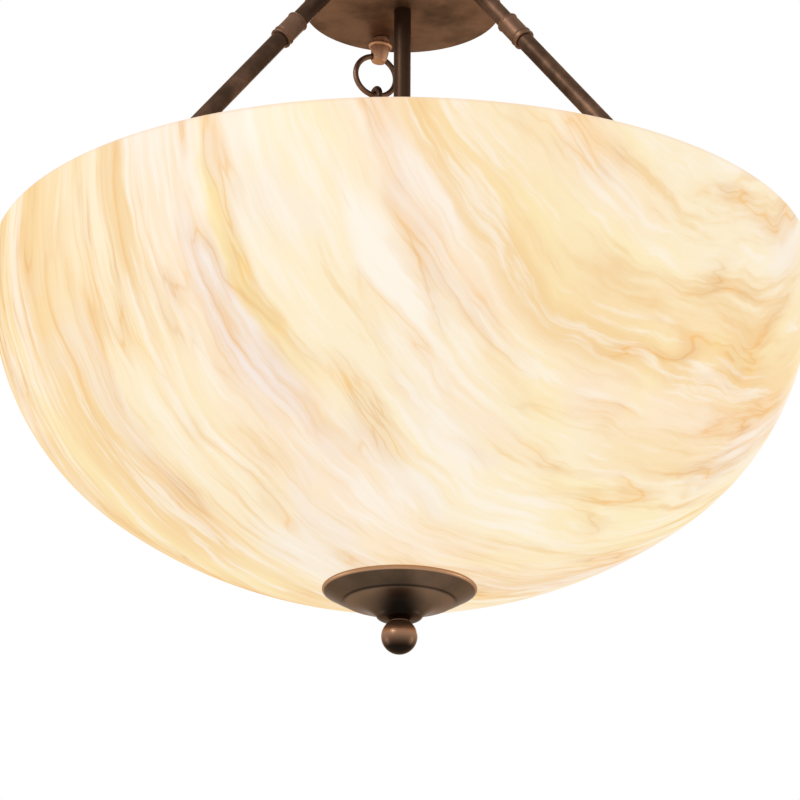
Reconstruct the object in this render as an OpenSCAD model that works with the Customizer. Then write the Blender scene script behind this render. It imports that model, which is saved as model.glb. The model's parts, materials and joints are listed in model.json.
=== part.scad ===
// Three-light bowl pendant: a glass bowl on a centre stem and three straight arms, hung from a chain.
// The ceiling plane is z = 0, the pendant hangs below it and the front of the bowl faces -Y.

/* [Glass bowl] */
// Outer diameter of the bowl at its rim
bowl_d = 610; // [540:5:650]
// Depth of the bowl from rim to bottom
bowl_depth = 256; // [236:2:276]
// Radius of the shallow arc across the bottom of the bowl
bowl_crown_r = 375; // [360:5:400]
// Height of the straight lip under the rim
bowl_lip = 21; // [10:1:30]
// Thickness of the glass
bowl_wall = 6; // [4:0.5:8]
// Diameter of the hole through the bottom of the bowl
bowl_hole_d = 14; // [12:0.5:18]

/* [Cap and finial] */
// Diameter of the dished cap under the bowl
cap_d = 113.2; // [98:0.2:128]
// Diameter of the raised step on the cap
cap_step_d = 82; // [68:1:90]
// Height of the cap without its boss
cap_h = 21; // [18:0.5:26]
// Height of the rolled edge of the cap
cap_edge = 2.5; // [2:0.5:4]
// Sheet thickness of the cap
cap_wall = 1.5; // [1:0.1:2.5]
// Diameter of the small boss under the cap
cap_boss_d = 35; // [28:1:40]
// Diameter of the finial ball
ball_d = 26.4; // [22:0.2:32]
// Diameter of the finial neck
neck_d = 15; // [13:0.5:20]

/* [Arms and stem] */
// Outer diameter of the arm tubes
arm_d = 13.5; // [12:0.1:15]
// Wall thickness of the arm tubes
arm_wall = 1.2; // [1:0.1:2]
// Angle between an arm and the vertical
arm_slope = 38.3; // [35:0.1:41]
// Distance of the middle of an arm from the edge of the hub plate
arm_inset = 10; // [9.6:0.05:13]
// Outer diameter of the collar on each arm
arm_collar_d = 16; // [15.4:0.1:18]
// Length of the collar on each arm
arm_collar_len = 24; // [16:1:30]
// Height of the lower end of each arm collar above the bowl rim
arm_collar_up = 163; // [140:1:170]
// Outer diameter of the centre stem
stem_d = 13; // [12.4:0.1:16]
// Outer diameter of the threaded tube in the stem and through the bowl
rod_d = 10; // [9:0.1:10.4]
// Bore of the threaded tube
rod_bore_d = 6.4; // [4:0.2:7]

/* [Hub] */
// Diameter of the flat hub plate
plate_d = 152.4; // [150:0.2:170]
// Thickness of the hub plate
plate_t = 3; // [2:0.5:5]
// Height of the underside of the hub plate above the bowl rim
plate_up = 213.7; // [205:0.1:222]
// Height of the bell over the hub plate
bell_h = 58; // [50:1:70]
// Diameter of the flat top of the bell
bell_top_d = 34; // [28:1:40]
// Sheet thickness of the bell
bell_wall = 1.5; // [1:0.1:2.5]

/* [Ring under the plate] */
// Distance of the ring collar to the left of the stem
ring_left = 16.5; // [14:0.5:22]
// Distance of the ring collar behind the stem
ring_back = 50.7; // [46:0.5:52]
// Angle at which the ring collar leans to the left
ring_lean = 6; // [0:0.5:10]
// Radius of the ring, to the middle of its wire
ring_r = 16.7; // [14:0.1:18]
// Diameter of the wire of the ring
ring_wire = 4.3; // [3.4:0.1:4.6]
// Angle at which the ring and its chain are turned out of the picture plane
ring_turn = 22; // [0:1:40]
// Diameter of the flange on the ring collar
ring_flange_d = 19.8; // [18:0.1:22]

/* [Chain] */
// Height of a link, from wire middle to wire middle
link_h = 33; // [30:0.5:36]
// Width of a link, from wire middle to wire middle
link_w = 17; // [16:0.5:18]
// Diameter of the wire of the links
link_wire = 5; // [4:0.1:5.2]
// Radius of the cast loops, to the middle of their wire
loop_r = 10; // [9.5:0.1:10.2]
// Diameter of the wire of the cast loops
loop_wire = 5; // [4.4:0.1:5.2]
// Gap between one link and the next
link_gap = 0.3; // [0.2:0.05:0.6]

/* [Ceiling fitting] */
// Diameter of the ceiling canopy
canopy_d = 133; // [125:1:150]
// Height of the ceiling canopy
canopy_h = 30; // [26:1:34]
// Sheet thickness of the ceiling canopy
canopy_wall = 1.2; // [1:0.1:2]
// Length of the crossbar
bar_len = 104; // [102:1:110]
// Width of the crossbar
bar_w = 20; // [18:1:26]
// Thickness of the crossbar
bar_t = 2.5; // [2:0.1:3.5]
// Distance between the two screw slots of the crossbar
slot_spacing = 88.9; // [84:0.1:90]
// Width of a screw slot
slot_w = 4.8; // [4:0.1:5.4]
// Length of a screw slot
slot_len = 10; // [8:0.5:11]

/* [Lamps] */
// Diameter of the lamp globes
bulb_d = 60; // [54:1:64]
// Length of a lamp beyond its socket
bulb_len = 84; // [80:1:90]
// Outer diameter of a lamp base
bulb_base_d = 26.4; // [26:0.1:27]
// Outer diameter of the socket shells
socket_d = 38; // [36:1:44]
// Length of a socket shell
socket_len = 46; // [42:1:54]
// Diameter of the lamp cluster body
cluster_d = 64; // [60:1:76]
// Height of the lamp cluster body
cluster_h = 32; // [28:1:40]
// Depth of the middle of the lamps under the bowl rim
lamp_down = 52; // [50:1:60]
// Thickness of the spider plate
spider_t = 4; // [3:0.5:6]
// Width of the spider's three blades
spider_w = 22; // [20:1:28]

/* [Hidden] */
$fn = 96;

// Colours
bronze = [0.29, 0.2, 0.15];
steel = [0.62, 0.61, 0.58];
brass = [0.78, 0.62, 0.32];
cream = [0.98, 0.9, 0.74];
porcelain = [0.93, 0.92, 0.88];
rubber = [0.12, 0.12, 0.12];

// Clearances
eps = 0.01;
seat_gap = 0.3;
slip = 0.2;
turn_fit = 0.05;

// Counts
arm_count = 3;
chain_links = 4;
service_links = 2;

// Chain geometry
link_step = link_h - link_wire - link_gap;
loop_step = (loop_wire + link_wire) / 2 + link_gap;

// Heights from the ceiling down to the hub
canopy_floor_z = -0.5 - canopy_h;
collar_h = 6;
canopy_collar_top = canopy_floor_z - seat_gap;
canopy_band = 4;
barrel_r = 13;
barrel_top = canopy_floor_z + 16;
barrel_bottom = canopy_collar_top - collar_h - 1;
loop_neck = 4;
canopy_loop_z = barrel_bottom - loop_neck - loop_r;
chain_top_z = canopy_loop_z - loop_r;
hub_pivot_z = chain_top_z - chain_links * link_step;
hub_loop_z = hub_pivot_z + loop_step - loop_r;
hub_barrel_r = 11;
hub_barrel_h = 12;
bell_top_z = hub_loop_z - loop_r - loop_neck - hub_barrel_h;
plate_top_z = bell_top_z - bell_h;
bell_foot = 11;
bell_setback = 3;
plate_z = plate_top_z - plate_t;
rim_z = plate_z - plate_up;

// Bowl geometry, with the rim plane at zero
bowl_r = bowl_d / 2;
crown_z = bowl_crown_r - bowl_depth;
crown_drop = crown_z + bowl_lip;
shoulder_r = (pow(bowl_crown_r, 2) - pow(bowl_r, 2) - pow(crown_drop, 2)) / (2 * (bowl_crown_r - bowl_r));
shoulder_x = bowl_r - shoulder_r;

// Arms
apex_z = plate_z + (plate_d / 2 - arm_inset) / tan(arm_slope);
arm_drop = apex_z - rim_z;
spider_top_z = rim_z + spider_t;
arm_reach = (apex_z - spider_top_z) * tan(arm_slope);
screw_d = 5;
screw_head_d = 8.5;
screw_head_h = 3;
washer_d = 11;
bead_h = 1.6;
bead_out = 0.6;
plug_len = 22;

// Screw parts
nut_flat = 16;
nut_h = 5;
rod_top_z = spider_top_z + 22;

// Ring under the plate
flange_drop = 9.6;
flange_h = 4.4;
ring_hole_drop = 16.3;
collar_tip_drop = 21;
collar_neck_r = 6.4;
collar_top_r = 7;
collar_tip_r = 6;
stub_r = 5.3;
ring_hole_play = 0.7;
ring_hang = 9.5;
ring_x = -ring_left - ring_hole_drop * sin(ring_lean) - ring_r * sin(ring_hang) * cos(ring_turn);
ring_y = ring_back - ring_r * sin(ring_hang) * sin(ring_turn);
ring_z = plate_z - ring_hole_drop * cos(ring_lean) - ring_r * cos(ring_hang);
service_first = (ring_wire + link_wire) / 2 + link_gap;

// Lamps
lamp_z = rim_z - lamp_down;
cluster_top_z = lamp_z + cluster_h / 2;
cluster_bottom_z = lamp_z - cluster_h / 2;
cluster_wall = 2;
socket_start = cluster_d / 2 + 7;
socket_mouth = socket_start + socket_len;
liner_wall = 0.8;
liner_len = 30;
bulb_neck_r = bulb_base_d / 2 - 0.8;
bulb_wall = 1.2;
base_len = 26;

// Bottom fittings
cap_top_z = rim_z + crown_z - sqrt(pow(bowl_crown_r, 2) - pow(cap_d / 2, 2)) - seat_gap;
cap_bottom_z = cap_top_z - cap_h;
boss_h = 4.2;
neck_show = 1.1;
boss_bottom_z = cap_bottom_z - boss_h;
ball_z = boss_bottom_z - neck_show - sqrt(pow(ball_d, 2) - pow(neck_d, 2)) / 2;
gasket_r = 24;
gasket_t = 2;
gasket_z = rim_z + crown_z - sqrt(pow(bowl_crown_r - bowl_wall, 2) - pow(gasket_r, 2)) + seat_gap;
rod_bottom_z = ball_z;

function arm_turn(i) = 90 + (i - 1) * 360 / arm_count;
function lamp_turn(i) = arm_turn(i) + 180 / arm_count;

// A frame whose z axis runs down along arm i from the point where the arms meet
module along_arm(i) {
    rotate([0, 0, arm_turn(i)])
        translate([0, 0, apex_z])
            rotate([0, 180 - arm_slope, 0])
                children();
}

// A frame whose z axis runs outwards along lamp i from the stem
module along_lamp(i) {
    translate([0, 0, lamp_z])
        rotate([0, 0, lamp_turn(i)])
            rotate([0, 90, 0])
                children();
}

// A frame at the underside of the plate that leans with the ring collar
module at_ring_collar() {
    translate([-ring_left, ring_back, plate_z])
        rotate([0, ring_lean, 0])
            children();
}

// The frame of the ring, at its middle and turned out of the picture plane
module at_ring() {
    translate([ring_x, ring_y, ring_z])
        rotate([0, 0, ring_turn])
            children();
}

module hex_nut(flat, h, hole_d) {
    difference() {
        intersection() {
            cylinder(r = flat / sqrt(3), h = h, $fn = 6);
            cylinder(r1 = flat / sqrt(3) - 0.3, r2 = flat / sqrt(3) + h, h = h);
        }
        translate([0, 0, -1])
            cylinder(d = hole_d, h = h + 2);
    }
}

// A round-wire ring that stands in the xz plane
module wire_ring(r, wire) {
    rotate([90, 0, 0])
        rotate_extrude()
            translate([r, 0])
                circle(d = wire, $fn = 32);
}

// One oval link in the xz plane, with the middle of its top wire at z = 0
module oval_link() {
    r = link_w / 2;
    straight = link_h - link_w;
    for (end = [0, 1])
        translate([0, 0, -r - end * straight])
            rotate([0, end * 180, 0])
                rotate([90, 0, 0])
                    rotate_extrude(angle = 180)
                        translate([r, 0])
                            circle(d = link_wire, $fn = 32);
    for (side = [-1, 1])
        translate([side * r, 0, -r - straight])
            cylinder(d = link_wire, h = straight, $fn = 32);
}

// Link i of a chain whose first wire hangs by "first" below the middle of the wire at z = top
module chain_link(top, first, i) {
    hook_z = top - (i - 1) * link_step;
    lift = i == 1 ? first : link_wire + link_gap;
    translate([0, 0, hook_z + lift])
        rotate([0, 0, i % 2 == 1 ? 90 : 0])
            oval_link();
}

// Ceiling fitting

module crossbar() {
    color(steel)
        difference() {
            translate([0, 0, -bar_t])
                intersection() {
                    translate([-bar_len / 2, -bar_w / 2, 0])
                        cube([bar_len, bar_w, bar_t]);
                    cylinder(d = bar_len, h = bar_t);
                }
            translate([0, 0, -bar_t - 1])
                cylinder(d = rod_d + 2 * slip, h = bar_t + 2);
            for (side = [-1, 1])
                translate([side * slot_spacing / 2, 0, -bar_t - 1]) {
                    for (end = [-1, 1])
                        translate([end * (slot_len - slot_w) / 2, 0, 0])
                            cylinder(d = slot_w, h = bar_t + 2);
                    translate([-(slot_len - slot_w) / 2, -slot_w / 2, 0])
                        cube([slot_len - slot_w, slot_w, bar_t + 2]);
                }
        }
}

module canopy_nipple() {
    color(steel)
        difference() {
            translate([0, 0, barrel_top - 10])
                cylinder(d = rod_d, h = 10 - barrel_top);
            translate([0, 0, barrel_top - 11])
                cylinder(d = rod_bore_d, h = 12 - barrel_top);
        }
}

module crossbar_nut() {
    color(steel)
        translate([0, 0, -bar_t - nut_h])
            hex_nut(nut_flat, nut_h, rod_d + 2 * slip);
}

module canopy_loop() {
    color(bronze) {
        difference() {
            union() {
                translate([0, 0, barrel_bottom])
                    cylinder(r = barrel_r, h = barrel_top - barrel_bottom);
                translate([0, 0, barrel_bottom - loop_neck])
                    cylinder(r1 = loop_wire / 2 + 1, r2 = barrel_r - 2, h = loop_neck + eps);
            }
            translate([0, 0, barrel_top - 12])
                cylinder(d = rod_d + 2 * turn_fit, h = 13);
        }
        translate([0, 0, canopy_loop_z])
            wire_ring(loop_r, loop_wire);
    }
}

// The spun section of the canopy: a cove from the wide top edge down to the flat floor
module canopy_section(inset) {
    r = canopy_d / 2 - inset;
    h = canopy_h - inset;
    difference() {
        translate([0, -h])
            square([r, h]);
        translate([canopy_d / 2 + 1, -canopy_h - 1])
            circle(r = canopy_h - canopy_band + inset);
    }
}

module canopy() {
    color(bronze)
        translate([0, 0, -0.5])
            difference() {
                rotate_extrude()
                    canopy_section(0);
                rotate_extrude()
                    translate([0, eps])
                        canopy_section(canopy_wall);
                translate([0, 0, -canopy_h - 1])
                    cylinder(r = barrel_r + 0.5, h = canopy_h + 2);
            }
}

module canopy_collar() {
    color(bronze)
        translate([0, 0, canopy_collar_top - collar_h])
            difference() {
                rotate_extrude() {
                    square([19 - collar_h / 2, collar_h]);
                    translate([19 - collar_h / 2, collar_h / 2])
                        circle(d = collar_h, $fn = 48);
                }
                translate([0, 0, -1])
                    cylinder(r = barrel_r + 2 * turn_fit, h = collar_h + 2);
            }
}

// Hub

module hub_loop() {
    color(bronze) {
        difference() {
            union() {
                translate([0, 0, bell_top_z + seat_gap / 3])
                    cylinder(r = hub_barrel_r, h = hub_barrel_h - seat_gap / 3);
                translate([0, 0, bell_top_z + hub_barrel_h - eps])
                    cylinder(r1 = hub_barrel_r - 2, r2 = loop_wire / 2 + 1, h = loop_neck + eps);
            }
            translate([0, 0, bell_top_z - 1])
                cylinder(d = rod_d + 2 * turn_fit, h = hub_barrel_h - 1);
        }
        translate([0, 0, hub_loop_z])
            rotate([0, 0, 90])
                wire_ring(loop_r, loop_wire);
    }
}

module hub_nipple() {
    low = plate_z - 16;
    high = bell_top_z + hub_barrel_h - 4;
    color(steel)
        difference() {
            translate([0, 0, low])
                cylinder(d = rod_d, h = high - low);
            translate([0, 0, low - 1])
                cylinder(d = rod_bore_d, h = high - low + 2);
        }
}

// The section of the bell: an upright foot and a hollow flank that sweeps up to the flat top
module bell_section(inset) {
    foot_r = plate_d / 2 - bell_setback;
    flank_w = foot_r - bell_top_d / 2;
    flank_h = bell_h - bell_foot;
    flank_r = (pow(flank_w, 2) + pow(flank_h, 2)) / (2 * flank_h);
    intersection() {
        square([foot_r - inset, bell_h - inset]);
        difference() {
            square([foot_r, bell_h]);
            translate([foot_r, bell_foot + flank_r])
                circle(r = flank_r + inset);
        }
    }
}

module hub_bell() {
    color(bronze)
        translate([0, 0, plate_top_z])
            difference() {
                rotate_extrude()
                    bell_section(0);
                translate([0, 0, -eps])
                    rotate_extrude()
                        bell_section(bell_wall);
                translate([0, 0, bell_h / 2])
                    cylinder(d = rod_d + 2 * slip, h = bell_h);
            }
}

module hub_plate() {
    color(bronze)
        difference() {
            translate([0, 0, plate_z])
                rotate_extrude() {
                    square([plate_d / 2 - plate_t / 2, plate_t]);
                    translate([plate_d / 2 - plate_t / 2, plate_t / 2])
                        circle(d = plate_t, $fn = 32);
                }
            translate([0, 0, plate_z - 1])
                cylinder(d = rod_d + 2 * slip, h = plate_t + 2);
            for (i = [1:arm_count])
                along_arm(i)
                    cylinder(d = screw_d + 2 * slip, h = arm_drop);
            at_ring_collar()
                translate([0, 0, -2])
                    cylinder(r = stub_r + seat_gap, h = plate_t + 6);
        }
}

// Arms

module arm(i) {
    top_cut = (apex_z - plate_z) / cos(arm_slope);
    end_cut = (apex_z - spider_top_z) / cos(arm_slope);
    color(bronze)
        difference() {
            along_arm(i)
                translate([0, 0, top_cut - plug_len])
                    cylinder(d = arm_d, h = end_cut - top_cut + 2 * plug_len);
            along_arm(i)
                translate([0, 0, top_cut + plug_len])
                    cylinder(d = arm_d - 2 * arm_wall, h = end_cut - top_cut - 2 * plug_len);
            along_arm(i)
                translate([0, 0, top_cut - plug_len])
                    cylinder(d = screw_d + 2 * slip, h = 2 * plug_len - 6);
            along_arm(i)
                translate([0, 0, end_cut - plug_len + 6])
                    cylinder(d = screw_d + 2 * slip, h = 2 * plug_len);
            translate([-bowl_r, -bowl_r, plate_z])
                cube([2 * bowl_r, 2 * bowl_r, 4 * plug_len]);
            translate([-bowl_r, -bowl_r, spider_top_z - 4 * plug_len])
                cube([2 * bowl_r, 2 * bowl_r, 4 * plug_len]);
        }
}

module arm_collar(i) {
    low = (apex_z - rim_z - arm_collar_up) / cos(arm_slope);
    r = arm_collar_d / 2;
    color(bronze)
        along_arm(i)
            translate([0, 0, low - arm_collar_len])
                difference() {
                    union() {
                        cylinder(r = r, h = arm_collar_len);
                        for (up = [0, 4.2, arm_collar_len - bead_h])
                            translate([0, 0, arm_collar_len - bead_h - up])
                                rotate_extrude() {
                                    square([r, bead_h]);
                                    translate([r - bead_h / 2 + bead_out, bead_h / 2])
                                        circle(d = bead_h, $fn = 24);
                                }
                    }
                    translate([0, 0, -1])
                        cylinder(d = arm_d + 2 * turn_fit, h = arm_collar_len + 2);
                }
}

// A washer along an arm, square to it on one face and flat against the plate on the other
module bevel_washers() {
    lift = washer_d / 2 * tan(arm_slope) + 1;
    plate_cut = (apex_z - plate_top_z) / cos(arm_slope);
    spider_cut = (apex_z - rim_z) / cos(arm_slope);
    color(steel)
        for (i = [1:arm_count]) {
            difference() {
                along_arm(i)
                    translate([0, 0, plate_cut - lift])
                        cylinder(d = washer_d, h = 2 * lift);
                along_arm(i)
                    translate([0, 0, plate_cut - 2 * lift])
                        cylinder(d = screw_d + 2 * slip, h = 4 * lift);
                translate([-bowl_r, -bowl_r, plate_top_z - 4 * lift])
                    cube([2 * bowl_r, 2 * bowl_r, 4 * lift]);
            }
            difference() {
                along_arm(i)
                    translate([0, 0, spider_cut - lift])
                        cylinder(d = washer_d, h = 2 * lift);
                along_arm(i)
                    translate([0, 0, spider_cut - 2 * lift])
                        cylinder(d = screw_d + 2 * slip, h = 4 * lift);
                translate([-bowl_r, -bowl_r, rim_z])
                    cube([2 * bowl_r, 2 * bowl_r, 4 * lift]);
            }
        }
}

// The screws that hold each arm to the plate and to the spider
module arm_screws() {
    lift = washer_d / 2 * tan(arm_slope) + 1;
    plate_cut = (apex_z - plate_top_z) / cos(arm_slope);
    spider_cut = (apex_z - rim_z) / cos(arm_slope);
    shank = 18;
    color(steel)
        for (i = [1:arm_count])
            along_arm(i) {
                translate([0, 0, plate_cut - lift - screw_head_h])
                    cylinder(d = screw_head_d, h = screw_head_h);
                translate([0, 0, plate_cut - lift - eps])
                    cylinder(d = screw_d, h = shank);
                translate([0, 0, spider_cut + lift])
                    cylinder(d = screw_head_d, h = screw_head_h);
                translate([0, 0, spider_cut + lift + eps - shank])
                    cylinder(d = screw_d, h = shank);
            }
}

module stem() {
    color(bronze)
        difference() {
            translate([0, 0, spider_top_z])
                cylinder(d = stem_d, h = plate_z - spider_top_z);
            translate([0, 0, spider_top_z - 1])
                cylinder(d = rod_d + 2 * slip, h = plate_z - spider_top_z + 2);
        }
}

// Ring under the plate and the service chain

module ring_collar() {
    color(bronze)
        difference() {
            at_ring_collar() {
                translate([0, 0, -flange_drop])
                    cylinder(r = collar_neck_r, h = flange_drop - ring_flange_d / 2 * tan(ring_lean));
                translate([0, 0, -flange_drop])
                    rotate_extrude() {
                        translate([0, -flange_h / 2])
                            square([ring_flange_d / 2 - flange_h / 2, flange_h]);
                        translate([ring_flange_d / 2 - flange_h / 2, 0])
                            circle(d = flange_h, $fn = 32);
                    }
                rotate_extrude()
                    polygon([[0, -collar_tip_drop],
                        [collar_tip_r * 0.6, -collar_tip_drop],
                        [collar_tip_r * 0.87, -collar_tip_drop + 0.6],
                        [collar_tip_r, -collar_tip_drop + 1.9],
                        [collar_tip_r + 0.1, -flange_drop - flange_h],
                        [collar_top_r, -flange_drop - 1],
                        [collar_top_r, -flange_drop],
                        [0, -flange_drop]]);
                translate([0, 0, -flange_drop])
                    cylinder(r = stub_r, h = flange_drop + plate_t + nut_h + 3);
            }
            at_ring()
                wire_ring(ring_r, ring_wire + 2 * ring_hole_play);
        }
}

module ring_collar_nut() {
    color(steel)
        at_ring_collar()
            translate([0, 0, (plate_t + nut_flat / sqrt(3) * sin(ring_lean)) / cos(ring_lean)])
                hex_nut(nut_flat, nut_h - 1, 2 * stub_r + 2 * slip);
}

module service_ring() {
    color(bronze)
        at_ring()
            wire_ring(ring_r, ring_wire);
}

module service_link(i) {
    color(bronze)
        at_ring()
            chain_link(-ring_r, service_first, i);
}

// An open hook with a closed eye, at the end of the service chain
module service_hook() {
    wire = 4;
    eye_r = 7;
    hook_r = 8;
    top_z = -ring_r - service_links * link_step + (link_wire + wire) / 2 + link_gap;
    color(bronze)
        at_ring()
            translate([0, 0, top_z])
                rotate([0, 0, 90]) {
                    translate([0, 0, -eye_r])
                        wire_ring(eye_r, wire);
                    translate([0, 0, -2 * eye_r - 6])
                        cylinder(d = wire, h = 6, $fn = 32);
                    translate([0, 0, -2 * eye_r - 6 - hook_r])
                        rotate([90, 0, 0])
                            rotate([0, 0, 90])
                                rotate_extrude(angle = 250)
                                    translate([hook_r, 0])
                                        circle(d = wire, $fn = 32);
                }
}

// Lamp cluster

module spider() {
    color(steel)
        difference() {
            translate([0, 0, rim_z])
                linear_extrude(spider_t) {
                    circle(r = 40);
                    for (i = [1:arm_count])
                        rotate([0, 0, arm_turn(i)]) {
                            translate([0, -spider_w / 2])
                                square([arm_reach + 4, spider_w]);
                            translate([arm_reach + 4, 0])
                                circle(d = spider_w);
                        }
                }
            translate([0, 0, rim_z - 1])
                cylinder(d = rod_d + 2 * slip, h = spider_t + 2);
            for (i = [1:arm_count])
                along_arm(i)
                    translate([0, 0, arm_drop / 2])
                        cylinder(d = screw_d + 2 * slip, h = 2 * arm_drop);
        }
}

module spacer_tube() {
    color(steel)
        difference() {
            translate([0, 0, cluster_top_z + cluster_wall])
                cylinder(d = stem_d, h = rim_z - cluster_top_z - cluster_wall);
            translate([0, 0, cluster_top_z])
                cylinder(d = rod_d + 2 * slip, h = rim_z - cluster_top_z + 1);
        }
}

module cluster_body() {
    color(bronze)
        difference() {
            translate([0, 0, cluster_bottom_z])
                cylinder(d = cluster_d, h = cluster_h);
            translate([0, 0, cluster_bottom_z + cluster_wall])
                cylinder(d = cluster_d - 2 * cluster_wall, h = cluster_h);
            translate([0, 0, cluster_bottom_z - 1])
                cylinder(d = rod_d + 2 * slip, h = cluster_h);
            for (i = [1:arm_count])
                along_lamp(i)
                    translate([0, 0, cluster_d / 4])
                        cylinder(d = rod_d + 2 * slip, h = cluster_d);
        }
}

module cluster_lid() {
    color(bronze)
        translate([0, 0, cluster_top_z])
            difference() {
                cylinder(d = cluster_d, h = cluster_wall);
                translate([0, 0, -1])
                    cylinder(d = rod_d + 2 * slip, h = cluster_wall + 2);
            }
}

// The nuts on the plate, under the cluster and on the washer in the bowl
module lock_nuts() {
    color(steel)
        for (z = [plate_top_z, cluster_bottom_z - nut_h, gasket_z + 2 * gasket_t])
            translate([0, 0, z])
                hex_nut(nut_flat, nut_h, rod_d + 2 * slip);
}

module socket_nipples() {
    color(steel)
        for (i = [1:arm_count])
            along_lamp(i)
                difference() {
                    translate([0, 0, cluster_d / 2 - cluster_wall - 5])
                        cylinder(d = rod_d, h = socket_start - cluster_d / 2 + cluster_wall + 9);
                    translate([0, 0, cluster_d / 2 - cluster_wall - 6])
                        cylinder(d = rod_bore_d, h = socket_start - cluster_d / 2 + cluster_wall + 11);
                }
}

module socket_shell(i) {
    back_h = 8;
    color(porcelain)
        along_lamp(i)
            translate([0, 0, socket_start])
                difference() {
                    union() {
                        cylinder(r1 = socket_d / 2 - 6, r2 = socket_d / 2, h = back_h);
                        translate([0, 0, back_h])
                            cylinder(d = socket_d, h = socket_len - back_h);
                    }
                    translate([0, 0, back_h])
                        cylinder(r = bulb_base_d / 2 + 2 * turn_fit + liner_wall + slip, h = socket_len);
                    translate([0, 0, -1])
                        cylinder(d = rod_d + 2 * slip, h = 6);
                }
}

module socket_liner(i) {
    inner = bulb_base_d / 2 + 2 * turn_fit;
    color(brass)
        along_lamp(i)
            translate([0, 0, socket_mouth - liner_len - 2])
                difference() {
                    cylinder(r = inner + liner_wall, h = liner_len);
                    translate([0, 0, -1])
                        cylinder(r = inner, h = liner_len + 2);
                }
}

module bulb_base(i) {
    color(brass)
        along_lamp(i)
            translate([0, 0, socket_mouth - base_len])
                difference() {
                    union() {
                        cylinder(d = bulb_base_d, h = base_len);
                        translate([0, 0, -3])
                            cylinder(r1 = 4.5, r2 = bulb_base_d / 2 - 2, h = 3 + eps);
                    }
                    translate([0, 0, 2])
                        cylinder(r = bulb_neck_r, h = base_len);
                }
}

// The lamp's outline: a round globe that narrows to its neck
module bulb_section(inset) {
    globe = bulb_d / 2 - inset;
    neck = bulb_neck_r - slip / 2 - inset;
    reach = bulb_len - bulb_d / 2;
    intersection() {
        translate([0, -base_len + 4])
            square([bulb_d, bulb_len + base_len]);
        union() {
            translate([0, reach])
                circle(r = globe);
            polygon([[0, -base_len + 3], [neck, -base_len + 3], [neck, 4],
                [globe * cos(28), reach - globe * sin(28)], [0, reach]]);
        }
    }
}

module bulb_glass(i) {
    color("white")
        along_lamp(i)
            translate([0, 0, socket_mouth])
                difference() {
                    rotate_extrude()
                        bulb_section(0);
                    rotate_extrude()
                        bulb_section(bulb_wall);
                }
}

// Bowl and its fittings

module support_rod() {
    color(steel)
        difference() {
            translate([0, 0, rod_bottom_z])
                cylinder(d = rod_d, h = rod_top_z - rod_bottom_z);
            translate([0, 0, rod_bottom_z - 1])
                cylinder(d = rod_bore_d, h = rod_top_z - rod_bottom_z + 2);
        }
}

module bowl_gasket() {
    color(rubber)
        translate([0, 0, gasket_z])
            difference() {
                cylinder(r = gasket_r, h = gasket_t);
                translate([0, 0, -1])
                    cylinder(d = bowl_hole_d, h = gasket_t + 2);
            }
}

module bowl_washer() {
    color(steel)
        translate([0, 0, gasket_z + gasket_t])
            difference() {
                cylinder(r = gasket_r - 1, h = gasket_t);
                translate([0, 0, -1])
                    cylinder(d = rod_d + 2 * slip, h = gasket_t + 2);
            }
}

// Half of the bowl's outline, filled: a crown arc, a shoulder arc tangent to it and a straight lip
module bowl_section(inset, top) {
    far = 2 * bowl_crown_r;
    lean = atan2(shoulder_x, crown_drop);
    intersection() {
        translate([0, -far])
            square([bowl_r, far + top]);
        union() {
            intersection() {
                translate([0, crown_z])
                    circle(r = bowl_crown_r - inset, $fn = 180);
                polygon([[0, crown_z], [0, crown_z - far], [far * sin(lean), crown_z - far * cos(lean)]]);
            }
            intersection() {
                translate([shoulder_x, -bowl_lip])
                    circle(r = shoulder_r - inset, $fn = 180);
                polygon([[shoulder_x, -bowl_lip],
                    [shoulder_x + far * sin(lean - 1), -bowl_lip - far * cos(lean - 1)],
                    [shoulder_x + far, -bowl_lip]]);
            }
            polygon([[0, top], [bowl_r - inset, top], [bowl_r - inset, -bowl_lip - eps],
                [shoulder_x, -bowl_lip - eps], [0, crown_z - crown_drop]]);
        }
    }
}

module glass_bowl() {
    color(cream)
        translate([0, 0, rim_z])
            difference() {
                rotate_extrude($fn = 180) {
                    difference() {
                        bowl_section(0, -bowl_wall / 2);
                        bowl_section(bowl_wall, 1);
                    }
                    translate([bowl_r - bowl_wall / 2, -bowl_wall / 2])
                        circle(d = bowl_wall, $fn = 32);
                }
                translate([0, 0, -bowl_depth - 1])
                    cylinder(d = bowl_hole_d, h = bowl_wall + 4);
            }
}

// Half of the cap's outline, filled: a rolled edge, a full band, a step, a hollow dish and a cup
module cap_section(inset) {
    edge_r = cap_d / 2;
    step_r = cap_step_d / 2;
    boss_r = cap_boss_d / 2;
    step_z = -cap_edge - (cap_h - cap_edge) * 0.42;
    dish_z = step_z - 0.9;
    dish = [for (u = [0:0.125:1])
        [boss_r + (step_r - boss_r) * (1 - u) - inset, dish_z - (cap_h + dish_z) * pow(u, 1.6) + inset]];
    cup = [[boss_r, -cap_h - boss_h * 0.28], [boss_r - 1, -cap_h - boss_h * 0.55],
        [boss_r - 3.4, -cap_h - boss_h * 0.84], [neck_d / 2 + 1.5, -cap_h - boss_h]];
    intersection() {
        translate([0, -cap_h - boss_h + inset])
            square([edge_r - inset, cap_h + boss_h]);
        polygon(concat([[0, 0], [edge_r - inset, 0], [edge_r - inset, -cap_edge],
            [step_r + 1.2 - inset, step_z + inset]], dish,
            [for (point = cup) point + [-inset, inset]], [[0, -cap_h - boss_h + inset]]));
    }
}

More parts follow.
